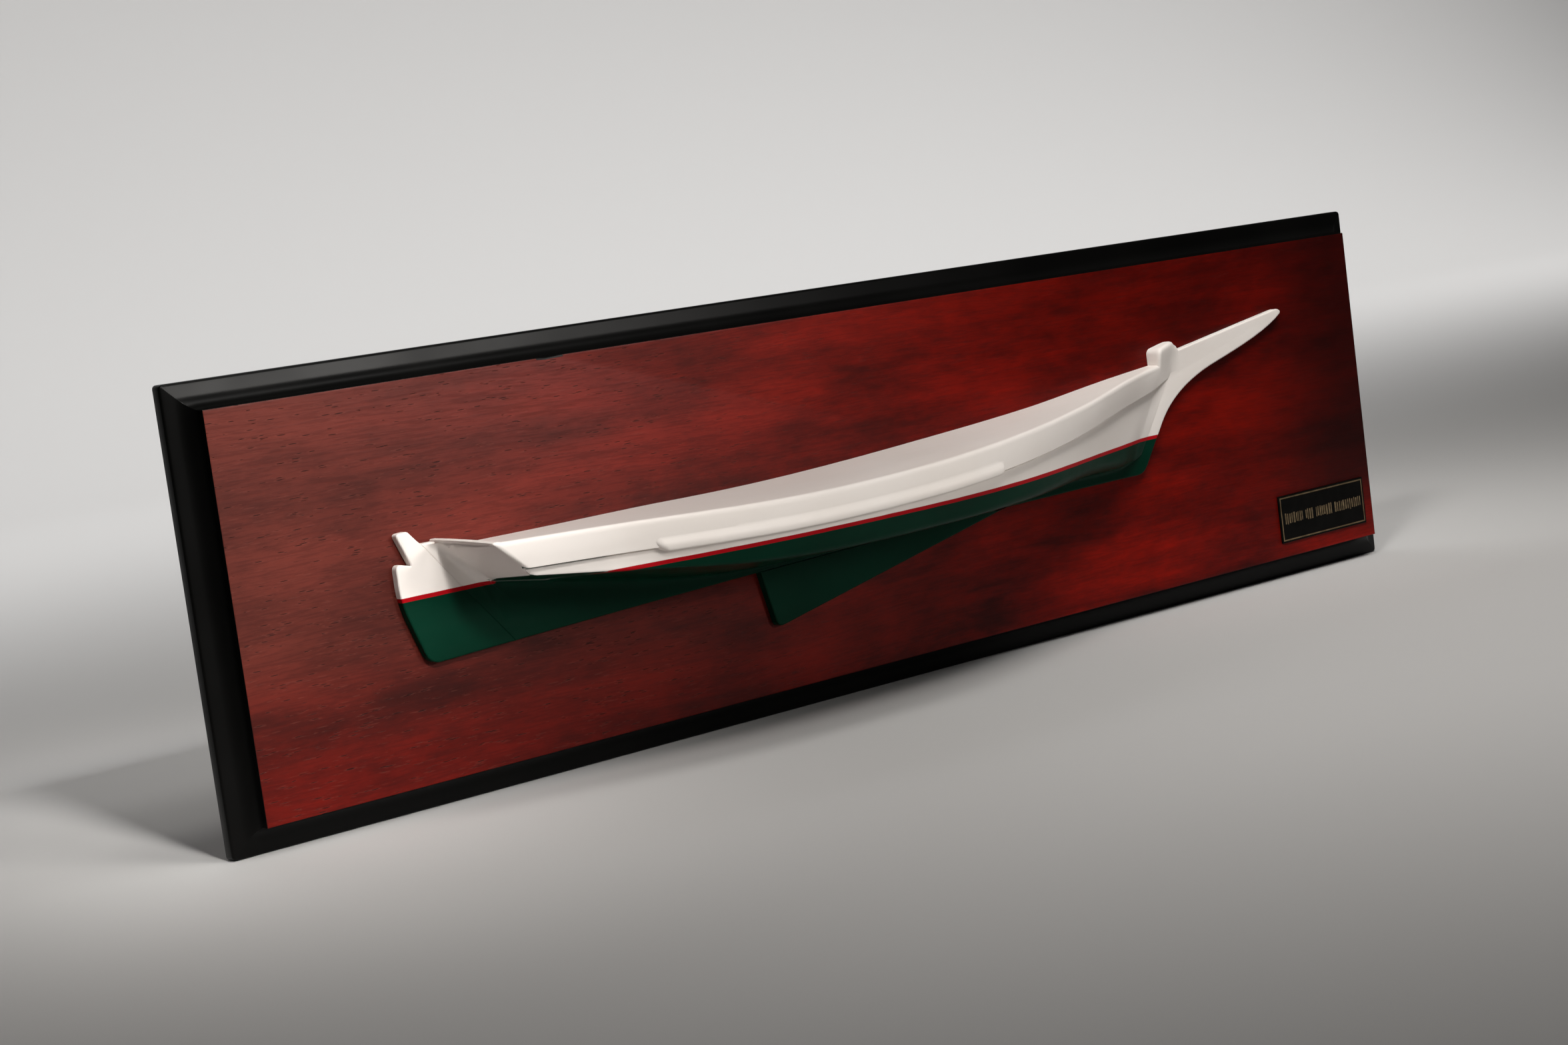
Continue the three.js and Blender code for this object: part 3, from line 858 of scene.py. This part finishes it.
class Shader:
    """A material's nodes, each made in one call that returns its output."""

    def __init__(self, name):
        self.material = bpy.data.materials.new(name)
        self.material.use_nodes = True
        self.tree = self.material.node_tree
        self.surface = self.tree.nodes["Principled BSDF"]

    def set(self, socket, value):
        if isinstance(value, bpy.types.NodeSocket):
            self.tree.links.new(value, socket)
        else:
            socket.default_value = value

    def node(self, kind, output=0, settings=None, **inputs):
        """A new node. An input is given by its name, or by its number after an underscore."""
        made = self.tree.nodes.new("ShaderNode" + kind)
        for key, value in (settings or {}).items():
            setattr(made, key, value)
        for key, value in inputs.items():
            self.set(made.inputs[int(key[1:]) if key[1:].isdigit() else key], value)
        return made.outputs[output]

    def axes(self, place):
        """The three parts of a place, as separate values."""
        made = self.tree.nodes.new("ShaderNodeSeparateXYZ")
        self.set(made.inputs[0], place)
        return made.outputs

    def scaled(self, place, scale):
        return self.node("Mapping", Vector=place, Scale=scale)

    def noise(self, place, scale, detail=2, roughness=0.5):
        """Noise of its own scale along each axis, in spots to the metre."""
        inputs = {"Vector": self.scaled(place, scale), "Scale": 1}
        return self.node("TexNoise", "Fac", **inputs, Detail=detail, Roughness=roughness)

    def math(self, operation, first, *others):
        """One operation on a value, or on several from left to right."""
        settings = {"operation": operation}
        if not others:
            return self.node("Math", 0, settings, _0=first)
        for other in others:
            first = self.node("Math", 0, settings, _0=first, _1=other)
        return first

    def times(self, *values):
        return self.math("MULTIPLY", *values)

    def span(self, value, low, high, to_low=0.0, to_high=1.0):
        """A value taken from one range to another, and held within it."""
        inputs = {"_0": value, "_1": low, "_2": high, "_3": to_low, "_4": to_high}
        return self.node("MapRange", 0, {"interpolation_type": "SMOOTHSTEP"}, **inputs)

    def fall(self, value, low, high):
        """One below a range, nought above it, and a soft fall between."""
        return self.span(value, low, high, 1.0, 0.0)

    def mix(self, share, a, b):
        made = self.tree.nodes.new("ShaderNodeMix")
        made.data_type = "RGBA"
        for number, value in ((0, share), (6, a), (7, b)):
            self.set(made.inputs[number], four(value))
        return made.outputs[2]

    def bump(self, height, distance, strength=1.0, under=None):
        inputs = {"Height": height, "Distance": distance, "Strength": strength}
        if under is not None:
            inputs["Normal"] = under
        return self.node("Bump", **inputs)

    def finish(self, **inputs):
        names = {
            "colour": "Base Color", "roughness": "Roughness", "normal": "Normal",
            "metallic": "Metallic", "specular": "Specular IOR Level",
        }
        for key, value in inputs.items():
            self.set(self.surface.inputs[names[key]], four(value))
        return self.material


def mahogany():
    """Stained wood: its warm and deep tones with a painted sheen at the stern's top, the dark of
    its fibres and ends, painted shade below the stern, and its pores with painted highlights at
    their rims.
    """
    # the brown tones hold partly the wood's own colour and partly a painted sheen
    brown_warm_and_sheen, red_warm = (0.142, 0.0270, 0.0180), (0.350, 0.0060, 0.0006)
    brown_deep_and_sheen, red_deep = (0.050, 0.0110, 0.0080), (0.044, 0.0010, 0.0006)
    fibre_dark, dark_stain_and_painted_shade = (0.022, 0.002, 0.0015), (0.012, 0.0012, 0.0010)
    # the lighter pore colour is a painted highlight at the pores' rims
    pore_glint, pore_dark = (0.24, 0.07, 0.05), (0.008, 0.002, 0.002)

    s = Shader("stained_mahogany")
    place = s.node("TexCoord", "Object")
    x, y, z = s.axes(place)
    # the grain wanders a little as it runs along the board
    sway = s.times(s.math("SUBTRACT", s.noise(place, (2.2, 1, 7)), 0.5), 0.03)
    bent = s.node("CombineXYZ", X=x, Y=y, Z=s.math("ADD", z, sway))
    figure = s.noise(bent, (4, 20, 36), 6, 0.66)
    blotch = s.noise(bent, (9, 10, 22), 7, 0.68)
    fibre = s.noise(bent, (60, 300, 900), 4, 0.65)
    stain = s.span(s.math("ADD", s.times(figure, 0.5), s.times(blotch, 0.6)), 0.35, 0.76)
    # brownest at the stern's top, partly a browner stain and partly a painted sheen, and a clear
    # red elsewhere
    below = s.times(s.fall(z, -0.105, -0.01), 0.7)
    redness_beyond_sheen = s.math("MAXIMUM", s.span(x, -0.45, 0.2), below)
    deep = s.mix(redness_beyond_sheen, brown_deep_and_sheen, red_deep)
    warm = s.mix(redness_beyond_sheen, brown_warm_and_sheen, red_warm)
    colour = s.mix(stain, deep, warm)
    colour = s.mix(s.times(s.span(fibre, 0.46, 0.60), 0.25), colour, fibre_dark)
    # the stain darkens towards the bow end, more so at the top; the darkening below the stern is
    # painted shade under the hull
    end = s.times(s.span(x, 0.20, 0.44), s.span(z, -0.112, -0.06, 0.1, 1.0), 0.9)
    high = s.times(s.span(x, -0.15, 0.3), s.span(z, -0.03, 0.09), 0.6)
    # painted shade: darker below the stern, under the hull
    low = s.times(s.fall(x, -0.25, 0.12), s.fall(z, -0.10, 0.02), 0.5)
    colour = s.mix(s.math("MAXIMUM", end, high, low), colour, dark_stain_and_painted_shade)
    # open pores, as short dark dashes with a painted highlight along their rims, more of them
    # towards the stern
    cells = {"Vector": s.scaled(place, (95, 64, 1000)), "Scale": 1, "Randomness": 1}
    away = s.node("TexVoronoi", "Distance", {"feature": "F1"}, **cells)
    patches = s.span(s.noise(place, (70, 60, 500), 1), 0.547, 0.577)
    some = s.times(patches, s.span(x, -0.25, 0.05, 1.0, 0.12))
    pore = s.times(s.fall(away, 0.17, 0.28), some)
    # a painted highlight round each pore
    glint = s.times(s.fall(away, 0.34, 0.46), some)
    colour = s.mix(s.times(glint, 0.12), colour, pore_glint)
    colour = s.mix(s.times(pore, 0.75), colour, pore_dark)
    normal = s.bump(pore, -0.0002, 1.0, s.bump(fibre, 0.00008, 0.6))
    roughness = s.span(fibre, 0.3, 0.7, 0.34, 0.44)
    return s.finish(colour=colour, roughness=roughness, normal=normal, specular=0.1)


def black_moulding():
    s = Shader("black_moulding")
    place = s.node("TexCoord", "Object")
    wear = s.noise(place, (60, 60, 60), 4, 0.6)
    soft = s.noise(place, (9, 9, 9), 3)
    colour = s.mix(s.span(soft, 0.3, 0.7), (0.0014, 0.0014, 0.0013), (0.0024, 0.0023, 0.0021))
    normal = s.bump(wear, 0.0002, 0.25)
    roughness = s.span(soft, 0.3, 0.7, 0.28, 0.36)
    return s.finish(colour=colour, roughness=roughness, normal=normal, specular=0.1)


def bare_back():
    s = Shader("back_stain")
    place = s.node("TexCoord", "Object")
    grain = s.noise(place, (5, 5, 180), 5, 0.6)
    fine = s.noise(place, (30, 30, 1100), 3)
    colour = s.mix(s.span(grain, 0.3, 0.7), (0.05, 0.018, 0.012), (0.10, 0.036, 0.022))
    colour = s.mix(s.times(s.span(fine, 0.5, 0.7), 0.5), colour, (0.03, 0.012, 0.008))
    normal = s.bump(fine, 0.0001, 0.5)
    return s.finish(colour=colour, roughness=0.62, normal=normal, specular=0.3)


# The waterline's height at a place near the stern, and its rise towards the bow from there
WATERLINE = -6.1
WATERLINE_FROM = -330
WATERLINE_SLOPE = 1.6 / 551
STRIPE_WIDTH = 2.3
# Where the paint's edges change from one to the other, in metres along each axis
UNDER_STERN = (-0.2925, -0.2910)
COUNTER_END = (-0.262, -0.258)
COUNTER_OUT = (-0.0315, -0.030)
COUNTER_TUCK = (-0.016, -0.015)
# and in the direction that the surface faces
FACING_DOWN = (-0.72, -0.62)
FACING_AFT = (-0.6, -0.5)


def above_waterline(s, place, green, shade):
    """The white topsides and the red stripe under them, over the green bottom."""
    x, y, z = s.axes(place)
    white = s.mix(shade, (0.85, 0.79, 0.74), (0.88, 0.825, 0.78))
    red = s.mix(shade, (0.36, 0.003, 0.007), (0.44, 0.005, 0.010))
    # the waterline rises towards the bow, and its edges are painted by hand
    rise = s.times(s.math("ADD", x, -WATERLINE_FROM * MM), WATERLINE_SLOPE)
    hand = s.times(s.math("SUBTRACT", s.noise(place, (60, 0, 0), 1), 0.5), 0.0003)
    above = s.math("SUBTRACT", z, WATERLINE * MM, rise, hand)
    edge = 0.00006
    foot = -STRIPE_WIDTH * MM
    colour = s.mix(s.span(above, foot - edge, foot + edge), green, red)
    colour = s.mix(s.span(above, -edge, edge), colour, white)
    # the stripe stops under the counter, where the white runs down to the edge and all that
    # faces down is green
    gap = s.times(s.span(x, *UNDER_STERN), s.fall(x, *COUNTER_END))
    colour = s.mix(s.times(gap, s.fall(above, -edge, edge)), colour, green)
    counter = s.times(s.fall(y, *COUNTER_OUT), s.fall(x, *COUNTER_END))
    colour = s.mix(s.times(counter, s.span(z, *COUNTER_TUCK)), colour, white)
    aft, _, up = s.axes(s.node("TexCoord", "Normal"))
    under = s.times(s.fall(up, *FACING_DOWN), s.span(aft, *FACING_AFT))
    return s.mix(s.times(counter, under), colour, green)


def paint(name, topsides=True):
    """Satin paint: green, with the white topsides and the red stripe or without them."""
    s = Shader(name)
    place = s.node("TexCoord", "Object")
    brush = s.noise(place, (30, 260, 260), 3)
    peel = s.noise(place, (700, 700, 700))
    shade = s.span(s.noise(place, (14, 14, 30), 3), 0.3, 0.7)
    colour = s.mix(shade, (0.0010, 0.022, 0.0115), (0.0016, 0.028, 0.0150))
    if topsides:
        colour = above_waterline(s, place, colour, shade)
    normal = s.bump(peel, 0.00003, 0.35, s.bump(brush, 0.00006, 0.35))
    roughness = s.span(brush, 0.3, 0.7, 0.28, 0.35)
    return s.finish(colour=colour, roughness=roughness, normal=normal, specular=0.05)


def plate_finish():
    """Blackened brass, with a bright line engraved inside its edge."""
    s = Shader("blackened_brass")
    place = s.node("TexCoord", "Object")
    x, _, z = s.axes(place)
    inner = []
    for value, centre, size in ((x, PLATE_X, PLATE_LENGTH), (z, PLATE_Y, PLATE_HEIGHT)):
        away = s.math("ABSOLUTE", s.math("SUBTRACT", value, centre * MM))
        inner.append(s.math("SUBTRACT", size / 2 * MM, away))
    margin = s.math("MINIMUM", *inner)
    line = s.times(s.span(margin, 0.00125, 0.0014), s.fall(margin, 0.0021, 0.00225))
    wear = s.noise(place, (140, 140, 140), 3)
    shade = s.span(wear, 0.35, 0.65)
    brass = s.mix(shade, (0.20, 0.14, 0.075), (0.34, 0.25, 0.14))
    black = s.mix(shade, (0.0015, 0.0015, 0.0012), (0.003, 0.0028, 0.0024))
    colour = s.mix(line, black, brass)
    roughness = s.span(wear, 0.3, 0.7, 0.28, 0.40)
    return s.finish(colour=colour, roughness=roughness, metallic=line, specular=0.05)


def brass_strokes():
    s = Shader("dull_brass")
    wear = s.noise(s.node("TexCoord", "Object"), (260, 260, 260), 3)
    colour = s.mix(s.span(wear, 0.35, 0.65), (0.18, 0.13, 0.07), (0.34, 0.25, 0.14))
    return s.finish(colour=colour, roughness=0.4, metallic=0.8)


# Pieces


def dress(obj, node, slot, *materials):
    obj.data.materials.clear()
    for material in materials:
        obj.data.materials.append(material)
    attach(obj, "root")
    if node:
        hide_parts(node)


def divide_board(obj):
    """Gives the board's faces their material: red face, black edge, or plain back."""
    face, edge, back = range(3)
    flat = 0.01 * MM
    for polygon in obj.data.polygons:
        x, y, z = polygon.center
        inside = abs(x) < FACE_HALF_LENGTH * MM and abs(z) < FACE_HALF_HEIGHT * MM
        if inside and y < flat - BOARD_THICKNESS * MM:
            polygon.material_index = face
        else:
            polygon.material_index = back if y > -flat else edge


board = backboard()
dress(board, "backboard", "stained_board", mahogany(), black_moulding(), bare_back())
divide_board(board)

hull_finish = paint("hull_paint")
dress(half_hull(), "half_hull", "hull_paint", hull_finish)
dress(rudder(), "rudder", "hull_paint", hull_finish)
dress(centreboard(), "centreboard", "bottom_paint", paint("bottom_paint", topsides=False))

dress(name_plate(), "name_plate", "plate", plate_finish())
dress(plate_strokes(), None, "plate", brass_strokes())

# Floor, light and camera, in metres


def studio_floor():
    """A floor that sweeps up behind the object, just below the board."""
    half_width, front, near, bend, radius, top = 7, -6, -1, 2.8, 1.6, 3.2
    steps, gap = 16, 0.0002
    line = [(front, 0), (near, 0), (bend, 0)]
    for turn in quarter_turns(steps)[1:]:
        line.append((bend + radius * math.sin(turn), radius * (1 - math.cos(turn))))
    line.append((bend + radius, top))
    points = [(x, y, z) for y, z in line for x in (-half_width, half_width)]
    faces = [(2 * i, 2 * i + 1, 2 * i + 3, 2 * i + 2) for i in range(len(line) - 1)]
    mesh = bpy.data.meshes.new("floor")
    mesh.from_pydata(points, [], faces)
    mesh.shade_smooth()
    finish = Shader("floor").finish(colour=(0.62, 0.61, 0.60), roughness=0.9, specular=0.05)
    mesh.materials.append(finish)
    floor = bpy.data.objects.new("floor", mesh)
    floor.location = (0, 0, -BOARD_HEIGHT / 2 * MM - gap)
    bpy.context.scene.collection.objects.link(floor)


def softbox(name, azimuth, elevation, distance, size, power, colour, target, spread):
    """A soft light round the object: azimuth 0 is in front of it, and 90 past its bow."""
    a, e = math.radians(azimuth), math.radians(elevation)
    away = Vector((math.sin(a) * math.cos(e), -math.cos(a) * math.cos(e), math.sin(e)))
    light = bpy.data.lights.new(name, "AREA")
    light.shape = "RECTANGLE"
    light.size, light.size_y = size
    light.energy = power
    light.color = colour
    light.spread = math.radians(spread)
    lamp = bpy.data.objects.new(name, light)
    lamp.location = Vector(target) + away * distance
    lamp.rotation_euler = away.to_track_quat("Z", "Y").to_euler()
    bpy.context.scene.collection.objects.link(lamp)


WHITE = (1, 1, 1)
WARM = (1, 0.98, 0.955)
# name, azimuth, elevation, distance, size, power, colour, target, spread
LIGHTS = [
    ("key", -30, 50, 1.7, (0.45, 0.35), 2.3, WARM, (0.43, 0, 0), 80),
    ("top", -15, 70, 1.7, (0.9, 0.4), 2.2, (1, 0.98, 0.95), (0.3, 0, 0), 90),
    ("stern", -4, 36, 1.8, (0.25, 0.25), 0.29, WARM, (-0.42, 0, -0.03), 15),
    ("sheen", 28, 13, 2.0, (0.8, 0.5), 0.7, (1, 0.97, 0.93), (-0.5, 0, 0.05), 24),
    ("bow", -58, 38, 1.8, (0.25, 0.25), 0.14, WARM, (0.36, 0, 0.05), 18),
    ("back", 180, 48, 2.2, (1.6, 1.0), 7, WHITE, (0, 0, 0), 180),
    ("sweep", 0, 52, 3.2, (8.0, 1.4), 105, WHITE, (2.8, 3.4, -0.1), 120),
]
WORLD_COLOUR = (0.95, 0.93, 0.9, 1)
WORLD_STRENGTH = 0.045

# The camera was solved from the board's corners in the photograph
CAMERA_PLACE = (-1.0046, -1.2325, 0.1527)
CAMERA_RIGHT = (0.78114529, -0.61041336, -0.13117763)
CAMERA_UP = (0.16883897, 0.00425051, 0.98563448)
CAMERA_FORWARD = (0.60108689, 0.79207163, -0.10638182)
CAMERA_LENS = 59.2

studio_floor()

world = bpy.data.worlds.new("studio")
bpy.context.scene.world = world
world.use_nodes = True
background = world.node_tree.nodes["Background"]
background.inputs["Color"].default_value = WORLD_COLOUR
background.inputs["Strength"].default_value = WORLD_STRENGTH

for light in LIGHTS:
    softbox(*light)

camera_data = bpy.data.cameras.new("camera")
camera_data.sensor_width = 36
camera_data.lens = CAMERA_LENS
camera_data.clip_end = 100
camera = bpy.data.objects.new("camera", camera_data)
axes = Matrix((CAMERA_RIGHT, CAMERA_UP, -Vector(CAMERA_FORWARD))).transposed().to_4x4()
camera.matrix_world = Matrix.Translation(CAMERA_PLACE) @ axes
bpy.context.scene.collection.objects.link(camera)
bpy.context.scene.camera = camera

bpy.context.scene.view_settings.view_transform = "Standard"
